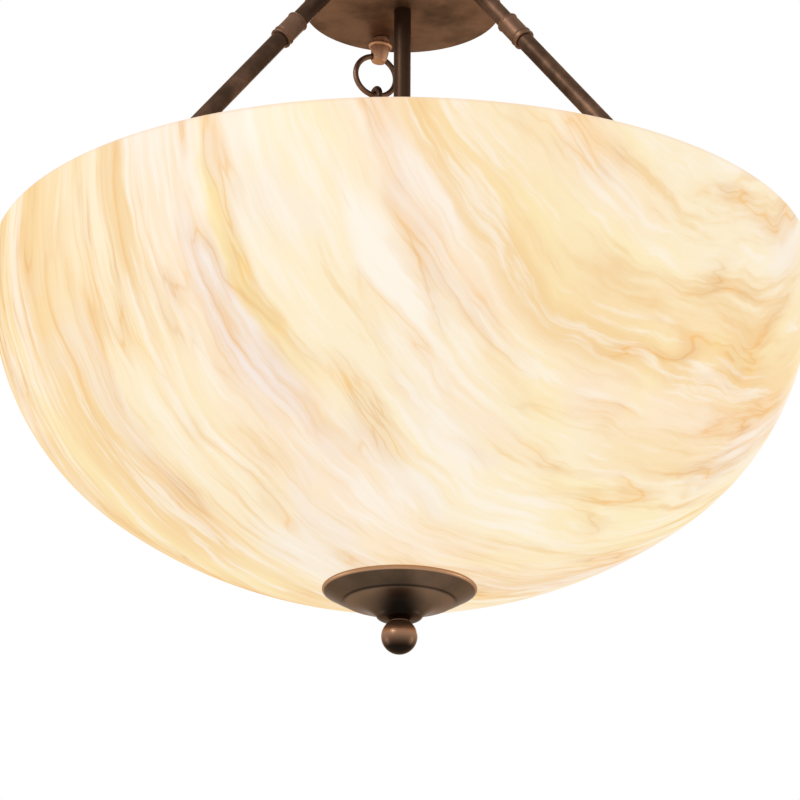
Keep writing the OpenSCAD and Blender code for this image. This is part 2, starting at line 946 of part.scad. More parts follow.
module bottom_cap() {
    color(bronze)
        translate([0, 0, cap_top_z])
            difference() {
                rotate_extrude()
                    cap_section(0);
                translate([0, 0, eps])
                    rotate_extrude()
                        cap_section(cap_wall);
                translate([0, 0, -2 * cap_h])
                    cylinder(d = rod_d + 2 * seat_gap, h = 3 * cap_h);
            }
}

module finial() {
    top = boss_bottom_z - seat_gap;
    color(bronze)
        difference() {
            union() {
                translate([0, 0, ball_z])
                    sphere(d = ball_d);
                translate([0, 0, ball_z])
                    cylinder(d = neck_d, h = top - ball_z);
            }
            translate([0, 0, top])
                cylinder(d = ball_d, h = ball_d);
            translate([0, 0, ball_z - 1])
                cylinder(d = rod_d + 2 * turn_fit, h = ball_d);
        }
}

crossbar();
canopy_nipple();
crossbar_nut();
canopy_loop();
canopy();
canopy_collar();
color(bronze) chain_link(chain_top_z, loop_step, 1);  // chain_link_1
color(bronze) chain_link(chain_top_z, loop_step, 2);  // chain_link_2
color(bronze) chain_link(chain_top_z, loop_step, 3);  // chain_link_3
color(bronze) chain_link(chain_top_z, loop_step, 4);  // chain_link_4
hub_loop();
hub_nipple();
hub_bell();
hub_plate();
arm(1);  // arm_1
arm(2);  // arm_2
arm(3);  // arm_3
arm_collar(1);  // arm_collar_1
arm_collar(2);  // arm_collar_2
arm_collar(3);  // arm_collar_3
bevel_washers();
arm_screws();
stem();
ring_collar();
ring_collar_nut();
service_ring();
service_link(1);  // service_link_1
service_link(2);  // service_link_2
service_hook();
spider();
spacer_tube();
cluster_body();
cluster_lid();
lock_nuts();
socket_nipples();
socket_shell(1);  // socket_shell_1
socket_shell(2);  // socket_shell_2
socket_shell(3);  // socket_shell_3
socket_liner(1);  // socket_liner_1
socket_liner(2);  // socket_liner_2
socket_liner(3);  // socket_liner_3
bulb_base(1);  // bulb_base_1
bulb_base(2);  // bulb_base_2
bulb_base(3);  // bulb_base_3
bulb_glass(1);  // bulb_glass_1
bulb_glass(2);  // bulb_glass_2
bulb_glass(3);  // bulb_glass_3
support_rod();
bowl_washer();
bowl_gasket();
glass_bowl();
bottom_cap();
finial();
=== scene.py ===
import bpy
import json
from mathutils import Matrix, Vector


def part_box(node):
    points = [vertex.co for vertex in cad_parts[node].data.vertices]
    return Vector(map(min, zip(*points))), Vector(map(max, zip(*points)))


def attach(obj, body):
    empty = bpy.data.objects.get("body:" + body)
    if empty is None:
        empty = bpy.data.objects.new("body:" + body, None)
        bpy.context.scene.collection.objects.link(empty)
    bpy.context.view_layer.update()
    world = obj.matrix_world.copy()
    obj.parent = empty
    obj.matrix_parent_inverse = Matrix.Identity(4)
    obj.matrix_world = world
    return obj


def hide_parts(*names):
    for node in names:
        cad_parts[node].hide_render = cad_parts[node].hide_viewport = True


bl_info = {
    "name": "Bowl pendant",
    "version": (1, 0, 0),
    "blender": (4, 5, 0),
    "location": "View3D > Sidebar > Pendant",
    "description": "Dresses a three-light bowl pendant with its streaked glass, bronze and lamps",
    "category": "Object",
}

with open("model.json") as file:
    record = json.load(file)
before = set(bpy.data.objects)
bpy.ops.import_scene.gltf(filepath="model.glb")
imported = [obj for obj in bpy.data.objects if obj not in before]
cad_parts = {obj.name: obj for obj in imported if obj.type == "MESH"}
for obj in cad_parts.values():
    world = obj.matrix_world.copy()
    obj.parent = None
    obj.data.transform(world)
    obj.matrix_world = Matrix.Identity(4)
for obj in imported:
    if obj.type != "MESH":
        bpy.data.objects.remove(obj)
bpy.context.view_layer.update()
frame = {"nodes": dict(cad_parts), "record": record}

import json
import math

import bpy
from bpy.props import FloatProperty, FloatVectorProperty, IntProperty, PointerProperty
from mathutils import Matrix, Vector

MM = 0.001
TURN = 2 * math.pi
MERGE = 1e-6


# Places read from the frame

BOWL_LOW, BOWL_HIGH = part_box("glass_bowl")
CAP_LOW, CAP_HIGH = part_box("bottom_cap")
FINIAL_LOW, FINIAL_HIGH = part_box("finial")
RIM_Z = BOWL_HIGH.z
BOWL_R = (BOWL_HIGH.x - BOWL_LOW.x) / 2
LAMP_COUNT = 3


def srgb(red, green, blue):
    """A colour as the eye reads it, from 0 to 255, as the light values that Blender works in."""
    def light(value):
        share = value / 255
        return share / 12.92 if share <= 0.04045 else ((share + 0.055) / 1.055) ** 2.4
    return (light(red), light(green), light(blue))


# Selecting and shaping

def deselect():
    """Leaves nothing selected, in object mode."""
    if bpy.context.object and bpy.context.object.mode != "OBJECT":
        bpy.ops.object.mode_set(mode="OBJECT")
    bpy.ops.object.select_all(action="DESELECT")


def activate(piece):
    """Makes a piece the only selected and the active one."""
    deselect()
    piece.select_set(True)
    bpy.context.view_layer.objects.active = piece


def lathe(name, profile, steps):
    """Spins a chain of (radius, height) points round the Z axis into a closed, smooth piece."""
    deselect()
    bpy.ops.mesh.primitive_plane_add(size=0.01)
    piece = bpy.context.object
    piece.name = name
    bpy.ops.object.mode_set(mode="EDIT")
    bpy.ops.mesh.merge(type="CENTER")
    bpy.ops.transform.translate(value=(profile[0][0], 0, profile[0][1]))
    for (radius, height), (next_radius, next_height) in zip(profile, profile[1:]):
        step = (next_radius - radius, 0, next_height - height)
        bpy.ops.mesh.extrude_vertices_move(TRANSFORM_OT_translate={"value": step})
    bpy.ops.mesh.select_all(action="SELECT")
    bpy.ops.mesh.spin(steps=steps, angle=TURN, center=(0, 0, 0), axis=(0, 0, 1))
    bpy.ops.mesh.select_all(action="SELECT")
    bpy.ops.mesh.remove_doubles(threshold=MERGE)
    bpy.ops.mesh.normals_make_consistent(inside=False)
    bpy.ops.object.mode_set(mode="OBJECT")
    smooth(piece)
    return piece


def smooth(piece, limit=35):
    """Shades a piece smooth, with sharp edges past the limit in degrees."""
    activate(piece)
    bpy.ops.object.shade_smooth_by_angle(angle=math.radians(limit))


def arc(centre, radius, start, end, steps):
    """Points along an arc in the (radius, height) plane, from one angle to another in degrees."""
    points = []
    for step in range(steps + 1):
        angle = math.radians(start + (end - start) * step / steps)
        points.append((centre[0] + radius * math.cos(angle), centre[1] + radius * math.sin(angle)))
    return points


def curve_value(before, first, last, after, t):
    """A value between first and last, at t from 0 to 1, on a smooth curve through all four."""
    slope = last - before
    bend = 2 * before - 5 * first + 4 * last - after
    twist = 3 * first - before - 3 * last + after
    return 0.5 * (2 * first + slope * t + bend * t ** 2 + twist * t ** 3)


def flow(points, steps):
    """A smooth chain of points through the given ones."""
    chain = []
    padded = [points[0], *points, points[-1]]
    for four in zip(padded, padded[1:], padded[2:], padded[3:]):
        for step in range(steps):
            chain.append(tuple(curve_value(*values, step / steps) for values in zip(*four)))
    return chain + [points[-1]]


def outline(points, radius, height):
    """Points in millimetres, as (radius, height) from a given radius and height."""
    return [(radius + across * MM, height + up * MM) for across, up in points]


def settle(piece, node_name, material):
    """Gives a finished piece its material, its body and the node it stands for."""
    piece.data.materials.clear()
    piece.data.materials.append(material)
    activate(piece)
    bpy.ops.object.transform_apply(location=True, rotation=True, scale=True)
    for body, members in frame["record"]["behaviour"]["bodies"].items():
        if node_name in members:
            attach(piece, body)
    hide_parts(node_name)


# Materials

BLACK = (0, 0, 0)
WHITE = (1, 1, 1)
FLAT = (1, 1, 0)
MIDDLE = 0.5

MILK = srgb(255, 246, 232)
CREAM = srgb(254, 238, 206)
LEMON = srgb(255, 238, 186)
PEACH = srgb(254, 232, 203)
LILAC = srgb(247, 236, 233)
HONEY = srgb(251, 221, 170)
AMBER = srgb(245, 209, 152)
VEIN_AMBER = srgb(248, 206, 132)
VEIN_TAN = srgb(234, 200, 158)
RIM_PEACH = srgb(244, 212, 186)

# The tones laid in order across the streaks of the sheet, and how its metres map on them
LAID_TONES = (
    (0.14, CREAM), (0.25, HONEY), (0.3, PEACH), (0.37, CREAM),
    (0.5, CREAM), (0.56, PEACH), (0.7, CREAM), (0.86, HONEY),
)
TONES_PER_METRE = 1.6
TONES_START = 0.7

# Layers of noise drawn out along the streaks: place, density along and across, detail, roughness, wander
STREAK_LAYERS = {
    "bands": ((0, 0), (3, 10), 4, 0.55, 0.5),
    "streaks": ((3, 7), (6, 42), 5, 0.6, 0.5),
    "threads": ((9, 2), (14, 170), 4, 0.6, 0.3),
    "pools": ((6, 4), (5, 11), 3, 0.5, 0.6),
    "veins": ((1, 5), (5, 32), 3, 0.5, 0.5),
    "vein_patches": ((5, 1), (5, 12), 3, 0.5, 0.0),
}
TONE_SHARES = (("bands", 0.7), ("streaks", 0.85), ("threads", 0.5))

# Single forms on the sheet: middle along and across the streaks, length, width, share, tone
PLACED_FORMS = (
    (-0.262, -0.09, 0.09, 0.022, 0.9, LILAC),
    (-0.305, -0.112, 0.075, 0.01, 0.8, LEMON),
    (-0.11, -0.276, 0.24, 0.016, 0.6, AMBER),
    (-0.235, -0.208, 0.06, 0.02, 0.9, MILK),
    (-0.374, -0.02, 0.12, 0.02, 0.7, AMBER),
    (-0.109, -0.354, 0.12, 0.03, 0.7, PEACH),
    (-0.198, 0.082, 0.14, 0.035, 0.5, AMBER),
    (0.055, -0.218, 0.1, 0.03, 0.6, HONEY),
    (-0.131, -0.189, 0.07, 0.015, 0.7, PEACH),
)
FORM_FRAY = 0.9

# The tint of the rim comes in by this much per metre of height, and reaches this value at the rim
RIM_RISE = 150
RIM_TOP = 0.95

# The glass glows in its own tone, a painted glow in place of the lamps' light shining through it, so its
# surface colour is darkened by this share
SURFACE_DARK = 0.92

# Near-black painted shade, for the cap's step line, the cap's hollow and the ball's underside
SHADE_BLACK = srgb(11, 7, 5)
CAP_BROWN = srgb(90, 76, 60)
# Painted highlight on the cap's dish just inside the step
DISH_HIGHLIGHT = srgb(132, 106, 84)
# Painted copper highlight along the cap's rolled edge
EDGE_HIGHLIGHT = srgb(182, 140, 106)
# Painted copper highlight mixed into the finial and the collar
COPPER_HIGHLIGHT = srgb(206, 156, 122)
BRONZE_SHEEN = srgb(222, 200, 184)

# How the bronze differs: how far it is rubbed, which in the lighter copies is painted light and in the
# darker stem copy painted shade, how much smoother it is, and its share of bright copper, a painted
# highlight
BRONZE_FINISHES = {
    "oiled_bronze": (0.0, 0.0, 0.0),
    # The next two are a lightened copy as painted light and a darkened copy as painted shade
    "painted_light_bronze": (0.16, 0.0, 0.0),
    "painted_shade_bronze": (-0.25, 0.0, 0.0),
    "cap_bronze": (0.08, 0.12, 0.0),
    # The finial and the collar are lightened and given copper as a painted highlight of the glowing bowl
    # they face
    "finial_bronze": (0.36, 0.14, 0.4),
    "collar_bronze": (0.5, 0.0, 0.7),
}
# Nodes given the lightened copy as painted light, and the stem given the darkened copy as painted shade
PAINTED_LIGHT_NODES = ("service_ring", "arm_collar", "hub_plate")
PAINTED_SHADE_NODES = ("stem",)
CLOUD_ROUGHNESS = 0.16

# How far the painted shade in the hollow of the cap is drawn in along X and let out along Y
HOLLOW_SHADE_SHAPE = (1.9, 0.75, 0)


class Nodes:
    """Builds a material's node tree, one node a call."""

    def __init__(self, name):
        self.material = bpy.data.materials.new(name)
        self.material.use_nodes = True
        self.tree = self.material.node_tree
        self.shader = self.tree.nodes["Principled BSDF"]

    def wire(self, value, socket):
        if isinstance(value, bpy.types.NodeSocket):
            self.tree.links.new(value, socket)
        elif value is not None:
            socket.default_value = value

    def set(self, name, value):
        if isinstance(value, tuple) and len(value) == 3:
            value = (*value, 1)
        self.wire(value, self.shader.inputs[name])

    def place(self):
        return self.tree.nodes.new("ShaderNodeTexCoord").outputs["Object"]

    def axis(self, vector, name):
        node = self.tree.nodes.new("ShaderNodeSeparateXYZ")
        self.wire(vector, node.inputs[0])
        return node.outputs[name]

    def map(self, vector, location=(0, 0, 0), rotation=(0, 0, 0), scale=(1, 1, 1)):
        node = self.tree.nodes.new("ShaderNodeMapping")
        self.wire(vector, node.inputs["Vector"])
        node.inputs["Location"].default_value = location
        node.inputs["Rotation"].default_value = rotation
        node.inputs["Scale"].default_value = scale
        return node.outputs[0]

    def noise(self, vector, scale, detail=2.0, roughness=0.5, distortion=0.0, output="Fac"):
        node = self.tree.nodes.new("ShaderNodeTexNoise")
        self.wire(vector, node.inputs["Vector"])
        node.inputs["Scale"].default_value = scale
        node.inputs["Detail"].default_value = detail
        node.inputs["Roughness"].default_value = roughness
        node.inputs["Distortion"].default_value = distortion
        return node.outputs[output]

    def math(self, operation, first, second=None, third=None):
        node = self.tree.nodes.new("ShaderNodeMath")
        node.operation = operation
        for socket, value in zip(node.inputs, (first, second, third)):
            self.wire(value, socket)
        return node.outputs[0]

    def vector(self, operation, first, second=None, scale=None):
        node = self.tree.nodes.new("ShaderNodeVectorMath")
        node.operation = operation
        self.wire(first, node.inputs[0])
        self.wire(second, node.inputs[1])
        if scale is not None:
            self.wire(scale, node.inputs["Scale"])
        return node.outputs["Value"] if operation in ("LENGTH", "DISTANCE") else node.outputs["Vector"]

    def ramp(self, factor, stops, interpolation="EASE"):
        node = self.tree.nodes.new("ShaderNodeValToRGB")
        node.color_ramp.interpolation = interpolation
        while len(node.color_ramp.elements) < len(stops):
            node.color_ramp.elements.new(MIDDLE)
        for element, (position, tone) in zip(node.color_ramp.elements, stops):
            element.position = position
            element.color = (*tone, 1) if isinstance(tone, tuple) else (tone, tone, tone, 1)
        self.wire(factor, node.inputs["Fac"])
        return node.outputs["Color"]

    def mix(self, factor, first, second, blend="MIX"):
        node = self.tree.nodes.new("ShaderNodeMix")
        node.data_type = "RGBA"
        node.blend_type = blend
        self.wire(factor, node.inputs["Factor"])
        sockets = [socket for socket in node.inputs if socket.type == "RGBA"]
        for socket, value in zip(sockets, (first, second)):
            self.wire((*value, 1) if isinstance(value, tuple) else value, socket)
        return [socket for socket in node.outputs if socket.type == "RGBA"][0]

    def bump(self, height, distance, strength=1.0):
        node = self.tree.nodes.new("ShaderNodeBump")
        node.inputs["Distance"].default_value = distance
        node.inputs["Strength"].default_value = strength
        self.wire(height, node.inputs["Height"])
        self.tree.links.new(node.outputs["Normal"], self.shader.inputs["Normal"])


def seen_directly(tree):
    """One for what the camera sees, directly or in metal or glass, and zero for the light on things."""
    path = tree.nodes.new("ShaderNodeLightPath")
    seen = path.outputs["Is Camera Ray"]
    for other in ("Is Glossy Ray", "Is Transmission Ray"):
        either = tree.nodes.new("ShaderNodeMath")
        either.operation = "MAXIMUM"
        tree.links.new(seen, either.inputs[0])
        tree.links.new(path.outputs[other], either.inputs[1])
        seen = either.outputs[0]
    return seen


def glass_sheet(g, settings):
    """The bowl's surface rolled out flat round its middle, turned along the streaks, with some drift."""
    seat = g.vector("SUBTRACT", g.place(), (0, 0, BOWL_LOW.z))
    flat = g.vector("MULTIPLY", seat, FLAT)
    radius = g.math("MAXIMUM", g.vector("LENGTH", flat), MM)
    sheet = g.vector("SCALE", flat, scale=g.math("DIVIDE", g.vector("LENGTH", seat), radius))
    drifted = sheet
    for density, detail, share in ((4.5, 1.5, 1), (19, 3, 1 / 4)):
        drift = g.noise(sheet, density, detail, output="Color")
        drift = g.vector("SUBTRACT", drift, (MIDDLE, MIDDLE, MIDDLE))
        drifted = g.vector("ADD", drifted, g.vector("SCALE", drift, scale=settings.drift * share))
    return sheet, g.map(drifted, rotation=(0, 0, -settings.streak_turn))


def glass_tones(g, along, layers):
    """The colours of the sheet: laid tones, pools, single forms, and streaks of milk and amber."""
    body = g.ramp(g.math("MULTIPLY_ADD", g.axis(along, "Y"), TONES_PER_METRE, TONES_START), LAID_TONES)
    body = g.mix(g.ramp(layers["pools"], [(0.52, 0.0), (0.68, 0.55)]), body, LEMON)
    body = g.mix(g.ramp(layers["pools"], [(0.34, 0.4), (0.46, 0.0)]), body, LILAC)
    for u, v, long, wide, share, tint in PLACED_FORMS:
        offset = g.vector("MULTIPLY", g.vector("SUBTRACT", along, (u, v, 0)), (1 / long, 1 / wide, 0))
        reach = g.math("SUBTRACT", g.vector("LENGTH", offset), FORM_FRAY / 2)
        frayed = g.math("MULTIPLY_ADD", layers["bands"], FORM_FRAY, reach)
        body = g.mix(g.ramp(frayed, [(0.35, share), (1.0, 0.0)]), body, tint)
    tone = MIDDLE
    for name, share in TONE_SHARES:
        tone = g.math("MULTIPLY_ADD", g.math("SUBTRACT", layers[name], MIDDLE), share, tone)
    body = g.mix(g.ramp(tone, [(0.32, 0.65), (0.49, 0.0)]), body, MILK)
    return g.mix(g.ramp(tone, [(0.5, 0.0), (0.76, 0.75)]), body, AMBER)


def glass_material(settings):
    """Slumped art glass: a flat streaked sheet laid over the bowl, with a painted glow in place of the
    lamps' light from inside.
    """
    g = Nodes("streaked_glass")
    sheet, along = glass_sheet(g, settings)
    layers = {}
    for name, ((u, v), (long, across), detail, roughness, wander) in STREAK_LAYERS.items():
        drawn = g.map(along, location=(u, v, 0), scale=(long, across, 1))
        layers[name] = g.noise(drawn, 1, detail, roughness, wander)
    body = glass_tones(g, along, layers)
    ridge = g.math("ABSOLUTE", g.math("SUBTRACT", layers["veins"], MIDDLE))
    vein = g.ramp(ridge, [(0.0, 1.0), (0.02, 0.5), (0.1, 0.0)])
    patch = g.ramp(layers["vein_patches"], [(0.44, 0.0), (0.62, 1.0)])
    share = g.math("MULTIPLY", g.math("MULTIPLY", vein, patch), settings.vein_share)
    vein_tone = g.ramp(g.noise(sheet, 26, 2), [(0.4, VEIN_AMBER), (0.62, VEIN_TAN)])
    tinted = g.mix(share, body, vein_tone, "MULTIPLY")
    height = g.math("MULTIPLY_ADD", g.axis(g.place(), "Z"), RIM_RISE, RIM_TOP - RIM_Z * RIM_RISE)
    tinted = g.mix(g.ramp(height, [(0.3, 0.0), (0.9, 0.5)]), tinted, RIM_PEACH)
    g.set("Base Color", g.mix(SURFACE_DARK, tinted, BLACK))
    # Painted glow: emission in place of the lamps' light through the glass
    g.set("Emission Color", tinted)
    g.shader.inputs["Emission Strength"].default_value = settings.glow
    g.shader.inputs["Roughness"].default_value = 0.4
    g.shader.inputs["Specular IOR Level"].default_value = 0.0
    g.shader.inputs["Coat Weight"].default_value = 0.1
    g.shader.inputs["Coat Roughness"].default_value = settings.polish
    g.bump(g.math("ADD", layers["streaks"], g.noise(sheet, 9, 2)), 0.4 * MM, 0.35)
    return g.material


def cap_tones_and_shading(g, place, colour):
    """Browner bronze, with a painted highlight on the dish, a painted shadow line at the step, painted
    shade in the hollow and a painted highlight along the edge.
    """
    radius = g.math("DIVIDE", g.vector("LENGTH", g.vector("MULTIPLY", place, FLAT)), CAP_HIGH.x)
    shade_oval = g.math("DIVIDE", g.vector("LENGTH", g.vector("MULTIPLY", place, HOLLOW_SHADE_SHAPE)), CAP_HIGH.x)
    for share, tone in (
            (0.5, CAP_BROWN),
            # Painted highlight on the dish just inside the step
            (g.ramp(radius, [(0.4, 0.0), (0.69, 0.6), (0.715, 0.0)]), DISH_HIGHLIGHT),
            # Painted shadow line in the crease at the step
            (g.ramp(radius, [(0.712, 0.0), (0.725, 0.75), (0.76, 0.0)]), SHADE_BLACK),
            # Painted shade in the hollow, darkest across the middle
            (g.ramp(shade_oval, [(0.26, 0.98), (0.85, 0.0)]), SHADE_BLACK),
            # Painted highlight along the rolled edge
            (g.ramp(radius, [(0.967, 0.0), (0.982, 1.0)], "LINEAR"), EDGE_HIGHLIGHT)):
        colour = g.mix(share, colour, tone)
    return colour


def ball_painted_shade(g, place, colour):
    """Painted shade: a black underside that fades out towards the neck."""
    height = g.math("SUBTRACT", g.axis(place, "Z"), FINIAL_LOW.z)
    share = g.math("MULTIPLY", height, 1 / (FINIAL_HIGH.z - FINIAL_LOW.z))
    return g.mix(g.ramp(share, [(0.14, 0.98), (0.64, 0.0)]), colour, SHADE_BLACK)


def bronze_material(settings, name, tones=None):
    """Oil-rubbed bronze, copper where it is rubbed; on some parts the finish's shift of the rubbing and
    its bright copper are painted light and shade; tones, if given, adds to its colour and painted light
    and shade.
    """
    rub_and_light, gloss, bright = BRONZE_FINISHES[name]
    g = Nodes(name)
    place = g.place()
    cloud = g.noise(place, 24, 4, 0.6)
    # The cloud is random wear; the finish's shift on it paints light on the lighter copies and shade on
    # the stem
    wear_and_light = g.ramp(cloud, [(0.4 - rub_and_light, 0.0), (0.85 - rub_and_light, 1.0)])
    colour = g.mix(wear_and_light, tuple(settings.colour), tuple(settings.rubbed))
    if bright:
        colour = g.mix(bright, colour, COPPER_HIGHLIGHT)
    if tones:
        colour = tones(g, place, colour)
    g.set("Base Color", colour)
    g.shader.inputs["Metallic"].default_value = settings.metal
    g.shader.inputs["Specular IOR Level"].default_value = 0.3
    g.shader.inputs["Specular Tint"].default_value = (*BRONZE_SHEEN, 1)
    lowest = settings.roughness - gloss - CLOUD_ROUGHNESS / 2
    g.set("Roughness", g.math("MULTIPLY_ADD", cloud, CLOUD_ROUGHNESS, lowest))
    g.bump(g.noise(place, 420, 3, 0.7), 0.02 * MM, 0.2)
    return g.material


def plated_material():
    """Zinc-plated steel of the parts that are hidden in use."""
    g = Nodes("zinc_plate")
    place = g.place()
    spangle = g.noise(place, 140, 2, 0.5, 1.2)
    g.set("Base Color", g.ramp(spangle, [(0.3, srgb(150, 152, 152)), (0.7, srgb(196, 197, 193))]))
    g.shader.inputs["Metallic"].default_value = 1.0
    g.set("Roughness", g.math("MULTIPLY_ADD", spangle, 0.2, 0.28))
    return g.material


def brass_material():
    """Pressed brass of the lamp bases and socket liners."""
    g = Nodes("pressed_brass")
    place = g.place()
    tarnish = g.noise(place, 60, 4, 0.6)
    g.set("Base Color", g.ramp(tarnish, [(0.35, srgb(186, 146, 78)), (0.65, srgb(222, 186, 116))]))
    g.shader.inputs["Metallic"].default_value = 1.0
    g.set("Roughness", g.math("MULTIPLY_ADD", tarnish, 0.2, 0.2))
    return g.material


def porcelain_material():
    """Off-white socket shells with a faint mottle."""
    g = Nodes("socket_shell")
    mottle = g.noise(g.place(), 90, 4, 0.6)
    g.set("Base Color", g.ramp(mottle, [(0.35, srgb(226, 222, 212)), (0.65, srgb(240, 237, 229))]))
    g.set("Roughness", g.math("MULTIPLY_ADD", mottle, 0.15, 0.38))
    g.bump(mottle, 0.05 * MM, 0.2)
    return g.material


def rubber_material():
    """Black gasket rubber."""
    g = Nodes("gasket_rubber")
    dust = g.noise(g.place(), 160, 5, 0.7)
    g.set("Base Color", g.ramp(dust, [(0.4, srgb(28, 28, 28)), (0.7, srgb(52, 51, 49))]))
    g.set("Roughness", g.math("MULTIPLY_ADD", dust, 0.2, 0.62))
    g.bump(dust, 0.1 * MM, 0.3)
    return g.material


def lamp_material(settings):
    """Frosted globes that shine warm."""
    g = Nodes("frosted_lamp")
    frost = g.noise(g.place(), 300, 3, 0.6)
    g.set("Base Color", g.ramp(frost, [(0.3, srgb(246, 240, 228)), (0.7, srgb(253, 249, 240))]))
    g.set("Emission Color", tuple(settings.warmth))
    g.shader.inputs["Emission Strength"].default_value = settings.shine
    g.shader.inputs["Roughness"].default_value = 0.35
    return g.material


# Settings

class GlassSettings(bpy.types.PropertyGroup):
    wall: FloatProperty(name="Wall", description="Thickness of the bowl's glass",
                        default=6 * MM, unit="LENGTH")
    crown: FloatProperty(name="Crown", description="Radius of the shallow arc across the bottom",
                         default=375 * MM, unit="LENGTH")
    lip: FloatProperty(name="Lip", description="Height of the straight lip under the rim",
                       default=21 * MM, unit="LENGTH")
    hole: FloatProperty(name="Hole", description="Radius of the hole in the bottom",
                        default=7 * MM, unit="LENGTH")
    steps: IntProperty(name="Steps", description="Faces round the bowl", default=192)
    drift: FloatProperty(name="Drift", description="How far the streaks wander",
                         default=0.07, unit="LENGTH")
    streak_turn: FloatProperty(name="Streak turn", description="Direction of the streaks on the sheet",
                               default=math.radians(45), subtype="ANGLE")
    vein_share: FloatProperty(name="Veins", description="How strong the amber veins are", default=0.65)
    glow: FloatProperty(name="Glow", description="How bright the glass shines with the lamps on",
                        default=0.94)
    polish: FloatProperty(name="Polish", description="Roughness of the gloss on the glass", default=0.3)


class BronzeSettings(bpy.types.PropertyGroup):
    colour: FloatVectorProperty(name="Colour", description="Dark base of the bronze", subtype="COLOR",
                                default=srgb(62, 45, 34))
    # Also the colour that the lightened copies are pushed towards as painted light
    rubbed: FloatVectorProperty(name="Rubbed", description="Copper brown where it is rubbed",
                                subtype="COLOR", default=srgb(126, 95, 76))
    metal: FloatProperty(name="Metal", description="Share of metallic reflection", default=0.85)
    roughness: FloatProperty(name="Roughness", description="Mean roughness", default=0.46)


class CapSettings(bpy.types.PropertyGroup):
    step_radius: FloatProperty(name="Step radius", description="Radius of the step on the cap",
                               default=41 * MM, unit="LENGTH")
    bead: FloatProperty(name="Bead", description="Radius of the rolled edge",
                        default=1.5 * MM, unit="LENGTH")
    sheet: FloatProperty(name="Sheet", description="Thickness of the spun sheet",
                         default=1.5 * MM, unit="LENGTH")
    neck: FloatProperty(name="Neck", description="Radius of the finial's neck",
                        default=7.5 * MM, unit="LENGTH")
    bore: FloatProperty(name="Bore", description="Radius of the finial's bore",
                        default=5.1 * MM, unit="LENGTH")
    steps: IntProperty(name="Steps", description="Faces round the cap and the finial", default=128)


class CollarSettings(bpy.types.PropertyGroup):
    lean: FloatProperty(name="Lean", description="Lean of the collar",
                        default=math.radians(6), subtype="ANGLE")
    hole_drop: FloatProperty(name="Hole drop", description="From the plate down to the ring's hole",
                             default=16.3 * MM, unit="LENGTH")
    length: FloatProperty(name="Length", description="From the plate down to the tip",
                          default=20.9 * MM, unit="LENGTH")
    tip: FloatProperty(name="Tip", description="Radius of the tip", default=6.2 * MM, unit="LENGTH")
    shoulder: FloatProperty(name="Shoulder", description="Radius under the flange",
                            default=7.2 * MM, unit="LENGTH")
    flange: FloatProperty(name="Flange", description="Radius of the flange",
                          default=9.4 * MM, unit="LENGTH")
    flange_drop: FloatProperty(name="Flange drop", description="From the plate down to the flange",
                               default=6.4 * MM, unit="LENGTH")
    flange_height: FloatProperty(name="Flange height", description="Height of the flange",
                                 default=3.6 * MM, unit="LENGTH")
    neck: FloatProperty(name="Neck", description="Radius over the flange",
                        default=6.4 * MM, unit="LENGTH")
    stub: FloatProperty(name="Stub", description="Radius of the stub in the plate",
                        default=5.3 * MM, unit="LENGTH")
    wire: FloatProperty(name="Wire", description="Radius of the ring's wire",
                        default=2.15 * MM, unit="LENGTH")
    play: FloatProperty(name="Play", description="Room for the ring in its hole",
                        default=0.7 * MM, unit="LENGTH")
    steps: IntProperty(name="Steps", description="Faces round the collar", default=64)


class LampSettings(bpy.types.PropertyGroup):
    warmth: FloatVectorProperty(name="Warmth", description="Colour of the lamps", subtype="COLOR",
                                default=srgb(255, 226, 178))
    shine: FloatProperty(name="Shine", description="Brightness of the globes", default=0.8)
    power: FloatProperty(name="Power", description="Light that each lamp gives",
                         default=0.45, unit="POWER")


class StageSettings(bpy.types.PropertyGroup):
    lens: FloatProperty(name="Lens", description="Focal length of the camera in millimetres",
                        default=164.68)
    back: FloatProperty(name="Back", description="Distance of the camera in front of the stem",
                        default=2.5475, unit="LENGTH")
    under: FloatProperty(name="Under", description="Height of the rim above the camera",
                         default=1.0423, unit="LENGTH")
    side: FloatProperty(name="Side", description="Shift of the camera to the left",
                        default=0.0004, unit="LENGTH")
    pitch: FloatProperty(name="Pitch", description="Upward tilt of the camera",
                         default=math.radians(20.168), subtype="ANGLE")
    roll: FloatProperty(name="Roll", description="Lean of the camera",
                        default=math.radians(0.3), subtype="ANGLE")
    floor_drop: FloatProperty(name="Floor drop", description="Height of the bowl above the floor",
                              default=3.2, unit="LENGTH")


PROPERTY_GROUPS = {
    "pendant_glass": GlassSettings,
    "pendant_bronze": BronzeSettings,
    "pendant_cap": CapSettings,
    "pendant_collar": CollarSettings,
    "pendant_lamp": LampSettings,
    "pendant_stage": StageSettings,
}


# Shapes, as the steps of their arcs and their points as (radius, height) in millimetres

CROWN_STEPS = 30
SHOULDER_STEPS = 36
ROUND_STEPS = 12
BALL_STEPS = 48
FLOW_STEPS = 4

# The cap: heights over its foot, the step's radii from its own radius, and the edge from its corner
CAP_BORE = 5.4
CAP_CUP = ((9, 0), (13.6, 0.7), (16.1, 2), (17.6, 4), (21, 6.8), (26, 9.6), (32, 11.6))
CAP_STEP = ((-3, 13), (-0.6, 13.8), (0.2, 14.5))
CAP_STEP_END = ((1.2, 14.9),)
CAP_BAND = ((49, 18.5),)
CAP_EDGE = ((-2, -3.4),)
CAP_INSIDE = ((32, 13.2), (21, 8.6), (14, 4))

FINIAL_BEVEL = 0.3 * MM

# The ring collar: its rounded tip as (share of the tip's radius, height in millimetres) and its slope
COLLAR_TIP = ((0, 0), (0.6, 0), (0.86, 0.7), (1, 2.2))
COLLAR_SLOPE = 3.5 * MM
DRILL_STEPS = 96
DRILL_SIDES = 24


# Operators

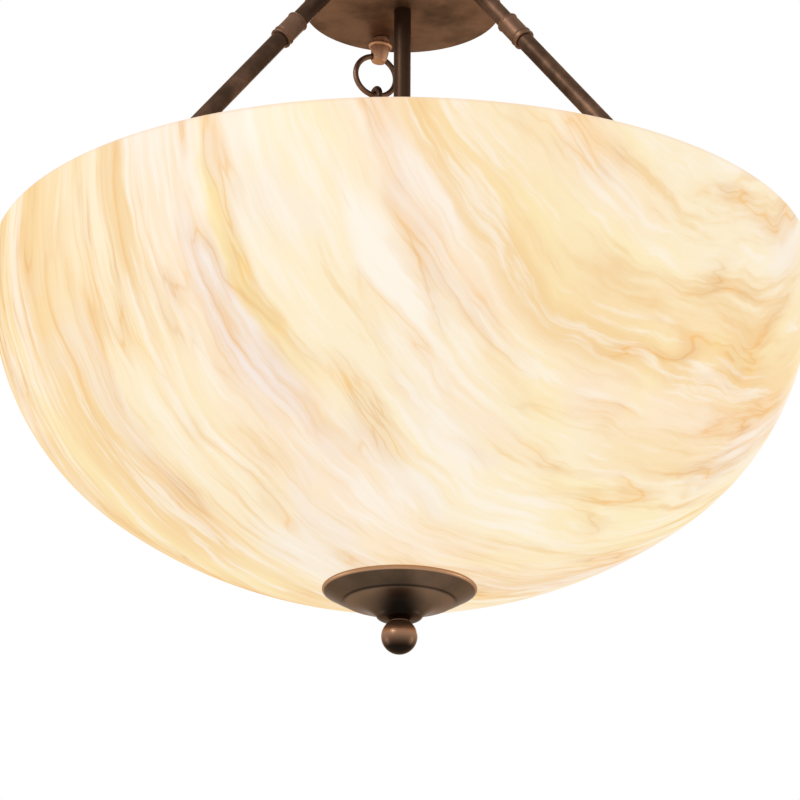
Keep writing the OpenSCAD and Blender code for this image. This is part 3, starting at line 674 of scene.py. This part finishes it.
class PENDANT_OT_glass_bowl(bpy.types.Operator):
    """Spins the glass bowl with its rounded rim"""
    bl_idname = "pendant.glass_bowl"
    bl_label = "Glass bowl"

    def execute(self, context):
        s = context.scene.pendant_glass
        crown_z = BOWL_LOW.z + s.crown
        shoulder_z = RIM_Z - s.lip
        drop = crown_z - shoulder_z
        shoulder = (s.crown ** 2 - BOWL_R ** 2 - drop ** 2) / (2 * (s.crown - BOWL_R))
        lean = math.degrees(math.atan2(BOWL_R - shoulder, drop))
        profile = []
        for inset, order in ((0, 1), (s.wall, -1)):
            hole_turn = math.degrees(math.asin(s.hole / (s.crown - inset)))
            side = arc((0, crown_z), s.crown - inset, -90 + hole_turn, -90 + lean, CROWN_STEPS)
            shoulder_middle = (BOWL_R - shoulder, shoulder_z)
            side += arc(shoulder_middle, shoulder - inset, -90 + lean, 0, SHOULDER_STEPS)[1:]
            side.append((BOWL_R - inset, RIM_Z - s.wall / 2))
            profile += side[::order]
            if order == 1:
                rim = (BOWL_R - s.wall / 2, RIM_Z - s.wall / 2)
                profile += arc(rim, s.wall / 2, 0, 180, ROUND_STEPS)[1:-1]
        profile.append(profile[0])
        bowl = lathe("bowl_glass", profile, s.steps)
        settle(bowl, "glass_bowl", glass_material(s))
        return {"FINISHED"}


class PENDANT_OT_bottom_cap(bpy.types.Operator):
    """Spins the dished cap with its rolled edge, step and cup"""
    bl_idname = "pendant.bottom_cap"
    bl_label = "Bottom cap"

    def execute(self, context):
        s = context.scene.pendant_cap
        edge = CAP_HIGH.x
        top = CAP_HIGH.z
        foot = CAP_LOW.z
        step = s.step_radius
        profile = outline([(CAP_BORE, 0)], 0, foot)
        profile += flow(outline(CAP_CUP, 0, foot) + outline(CAP_STEP, step, foot), FLOW_STEPS)
        profile += outline(CAP_STEP_END, step, foot)
        profile += outline(CAP_BAND, 0, foot) + outline(CAP_EDGE, edge, top)
        profile += arc((edge - s.bead, top - s.bead), s.bead, -60, 150, ROUND_STEPS)
        profile += outline(CAP_BAND, 0, foot + s.sheet)
        profile.append((step, foot + CAP_STEP[-1][1] * MM + s.sheet))
        profile += outline(CAP_INSIDE, 0, foot) + outline([(CAP_BORE, 0)], 0, foot + s.sheet)
        profile.append(profile[0])
        cap = lathe("cap_shell", profile, s.steps)
        finish = bronze_material(context.scene.pendant_bronze, "cap_bronze", cap_tones_and_shading)
        settle(cap, "bottom_cap", finish)
        return {"FINISHED"}


class PENDANT_OT_finial(bpy.types.Operator):
    """Turns the ball finial with its short neck"""
    bl_idname = "pendant.finial"
    bl_label = "Finial"

    def execute(self, context):
        s = context.scene.pendant_cap
        ball = (FINIAL_HIGH.x - FINIAL_LOW.x) / 2
        middle = FINIAL_LOW.z + ball
        top = FINIAL_HIGH.z
        start = math.degrees(math.acos(s.neck / ball))
        profile = [(s.bore, top), (s.neck - FINIAL_BEVEL, top), (s.neck, top - FINIAL_BEVEL)]
        profile += arc((0, middle), ball, start, -90, BALL_STEPS)
        profile += [(0, middle), (s.bore, middle), (s.bore, top)]
        knob = lathe("finial_ball", profile, s.steps)
        finish = bronze_material(context.scene.pendant_bronze, "finial_bronze", ball_painted_shade)
        settle(knob, "finial", finish)
        return {"FINISHED"}


class PENDANT_OT_ring_collar(bpy.types.Operator):
    """Turns the leaning collar that holds the ring, and drills it for the ring"""
    bl_idname = "pendant.ring_collar"
    bl_label = "Ring collar"

    def execute(self, context):
        s = context.scene.pendant_collar
        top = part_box("ring_collar")[1].z
        ring_low, ring_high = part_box("service_ring")
        joints = frame["record"]["behaviour"]["joints"]
        joint = next(joint for joint in joints if joint["name"] == "ring_swing")
        lean = Matrix.Rotation(s.lean, 3, "Y")
        seat = Vector(joint["pos_m"]) + lean @ Vector((0, 0, s.hole_drop))
        head = (top - seat.z - s.stub * math.sin(s.lean)) / math.cos(s.lean)
        plate = -s.flange * math.tan(s.lean)
        round_edge = s.flange_height / 2
        profile = [(s.tip * share, height * MM - s.length) for share, height in COLLAR_TIP]
        profile += [(s.shoulder, -s.flange_drop - COLLAR_SLOPE), (s.shoulder, -s.flange_drop)]
        profile += arc((s.flange - round_edge, -s.flange_drop), round_edge, -90, 90, ROUND_STEPS)
        profile += [(s.neck, -s.flange_drop + round_edge), (s.neck, plate), (s.stub, plate),
                    (s.stub, head), (0, head)]
        collar = lathe("turned_collar", profile, s.steps)
        collar.rotation_euler = lean.to_euler()
        collar.location = seat
        span = ring_high - ring_low
        turn = math.atan2(span.y - 2 * s.wire, span.x - 2 * s.wire)
        deselect()
        bpy.ops.mesh.primitive_torus_add(
            location=(ring_low + ring_high) / 2, rotation=(math.pi / 2, 0, turn),
            major_segments=DRILL_STEPS, minor_segments=DRILL_SIDES,
            major_radius=span.z / 2 - s.wire, minor_radius=s.wire + s.play)
        drill = context.object
        activate(collar)
        bpy.ops.object.modifier_add(type="BOOLEAN")
        collar.modifiers[-1].object = drill
        bpy.ops.object.modifier_apply(modifier=collar.modifiers[-1].name)
        activate(drill)
        bpy.ops.object.delete()
        smooth(collar)
        finish = bronze_material(context.scene.pendant_bronze, "collar_bronze")
        settle(collar, "ring_collar", finish)
        return {"FINISHED"}


class PENDANT_OT_finish_metal(bpy.types.Operator):
    """Gives the frame's own parts their metal, brass, plastic and rubber"""
    bl_idname = "pendant.finish_metal"
    bl_label = "Finish the metal"

    def execute(self, context):
        bronze = context.scene.pendant_bronze
        finishes = {
            "bronze": bronze_material(bronze, "oiled_bronze"),
            "zinc_steel": plated_material(),
            "brass": brass_material(),
            "socket_plastic": porcelain_material(),
            "rubber": rubber_material(),
            "lamp_glass": lamp_material(context.scene.pendant_lamp),
            "bowl_glass": None,
        }
        # A lightened copy of the bronze as painted light, and a darkened copy as painted shade
        rubbed = bronze_material(bronze, "painted_light_bronze")
        painted_shade_copy = bronze_material(bronze, "painted_shade_bronze")
        for part in frame["record"]["subparts"]:
            node = frame["nodes"][part["node"]]
            material = finishes[part["material_slot"]]
            if part["node"].startswith(PAINTED_LIGHT_NODES):
                material = rubbed
            elif part["node"] in PAINTED_SHADE_NODES:
                material = painted_shade_copy
            if material is None or node.hide_render:
                continue
            for slot in node.material_slots:
                slot.material = material
        return {"FINISHED"}


# The stage: measures in metres, the camera's sensor in millimetres, powers in watts

SENSOR_WIDTH = 36
VIEW_END = 50
FLOOR_SIZE = 60
FLOOR_ROUGHNESS = 0.9

# How much the floor glows where the camera sees it, and the surroundings' strength as light and as seen
FLOOR_GLOW = 0.4
WORLD_LIGHT = 0.55
WORLD_SEEN = 1.0

# Name, place from the middle of the rim, size, power
STUDIO_LIGHTS = (
    ("key", (-1.6, -1.8, 1.1), 0.9, 36),
    ("back", (0.6, 2.4, 1.2), 1.4, 20),
    ("low_left", (-2.2, 0.3, -1.1), 1.2, 8),
    ("low_right", (2.2, 0.3, -1.1), 1.2, 9),
)

# The light of a lamp stands this far under the middle of its globe
LAMP_DROP = 0.06
LAMP_SOFTNESS = 0.03


class PENDANT_OT_stage(bpy.types.Operator):
    """Sets up the floor, the white surroundings, the lights and the camera"""
    bl_idname = "pendant.stage"
    bl_label = "Stage"

    def execute(self, context):
        s = context.scene.pendant_stage
        scene = context.scene
        scene.view_settings.view_transform = "Standard"
        self.floor(s)
        self.world(scene)
        self.lights(scene)
        deselect()
        aim = Matrix.Rotation(math.pi / 2 + s.pitch, 3, "X") @ Matrix.Rotation(s.roll, 3, "Z")
        bpy.ops.object.camera_add(location=(-s.side, -s.back, RIM_Z - s.under), rotation=aim.to_euler())
        camera = context.object
        camera.data.lens = s.lens
        camera.data.sensor_width = SENSOR_WIDTH
        camera.data.clip_end = VIEW_END
        scene.camera = camera
        return {"FINISHED"}

    def floor(self, s):
        deselect()
        bpy.ops.mesh.primitive_plane_add(size=FLOOR_SIZE, location=(0, 0, BOWL_LOW.z - s.floor_drop))
        floor = bpy.context.object
        floor.name = "studio_floor"
        g = Nodes("pale_floor")
        speck = g.noise(g.place(), 3, 2)
        g.set("Base Color", g.ramp(speck, [(0.3, srgb(238, 237, 234)), (0.7, srgb(244, 243, 241))]))
        g.shader.inputs["Roughness"].default_value = FLOOR_ROUGHNESS
        g.set("Emission Color", WHITE)
        g.set("Emission Strength", g.math("MULTIPLY", seen_directly(g.tree), FLOOR_GLOW))
        floor.data.materials.append(g.material)

    def world(self, scene):
        world = bpy.data.worlds.new("studio_white")
        scene.world = world
        world.use_nodes = True
        tree = world.node_tree
        background = tree.nodes["Background"]
        background.inputs["Color"].default_value = (*WHITE, 1)
        strength = tree.nodes.new("ShaderNodeMapRange")
        strength.inputs["To Min"].default_value = WORLD_LIGHT
        strength.inputs["To Max"].default_value = WORLD_SEEN
        tree.links.new(seen_directly(tree), strength.inputs["Value"])
        tree.links.new(strength.outputs["Result"], background.inputs["Strength"])

    def lights(self, scene):
        middle = Vector((0, 0, RIM_Z))
        for name, place, size, power in STUDIO_LIGHTS:
            deselect()
            spot = middle + Vector(place)
            bpy.ops.object.light_add(type="AREA", location=spot)
            light = bpy.context.object
            light.name = "studio_" + name
            light.data.size = size
            light.data.energy = power
            light.rotation_euler = (middle - spot).to_track_quat("-Z", "Y").to_euler()
        lamp = scene.pendant_lamp
        for number in range(1, LAMP_COUNT + 1):
            low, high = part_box("bulb_glass_%d" % number)
            deselect()
            bpy.ops.object.light_add(type="POINT", location=(low + high) / 2 - Vector((0, 0, LAMP_DROP)))
            glow = bpy.context.object
            glow.name = "lamp_glow_%d" % number
            glow.data.energy = lamp.power
            glow.data.color = tuple(lamp.warmth)
            glow.data.shadow_soft_size = LAMP_SOFTNESS


class PENDANT_PT_panel(bpy.types.Panel):
    """Lists the pendant's operators"""
    bl_idname = "PENDANT_PT_panel"
    bl_label = "Pendant"
    bl_space_type = "VIEW_3D"
    bl_region_type = "UI"
    bl_category = "Pendant"

    def draw(self, context):
        for operator in OPERATORS:
            self.layout.operator(operator.bl_idname)


OPERATORS = (
    PENDANT_OT_stage,
    PENDANT_OT_glass_bowl,
    PENDANT_OT_bottom_cap,
    PENDANT_OT_finial,
    PENDANT_OT_ring_collar,
    PENDANT_OT_finish_metal,
)


def register():
    for name, group in PROPERTY_GROUPS.items():
        bpy.utils.register_class(group)
        setattr(bpy.types.Scene, name, PointerProperty(type=group))
    for cls in OPERATORS + (PENDANT_PT_panel,):
        bpy.utils.register_class(cls)


def unregister():
    for cls in (PENDANT_PT_panel,) + OPERATORS[::-1]:
        bpy.utils.unregister_class(cls)
    for name, group in PROPERTY_GROUPS.items():
        delattr(bpy.types.Scene, name)
        bpy.utils.unregister_class(group)


def main():
    register()
    bpy.ops.pendant.stage()
    bpy.ops.pendant.glass_bowl()
    bpy.ops.pendant.bottom_cap()
    bpy.ops.pendant.finial()
    bpy.ops.pendant.ring_collar()
    bpy.ops.pendant.finish_metal()


if __name__ == "__main__":
    main()
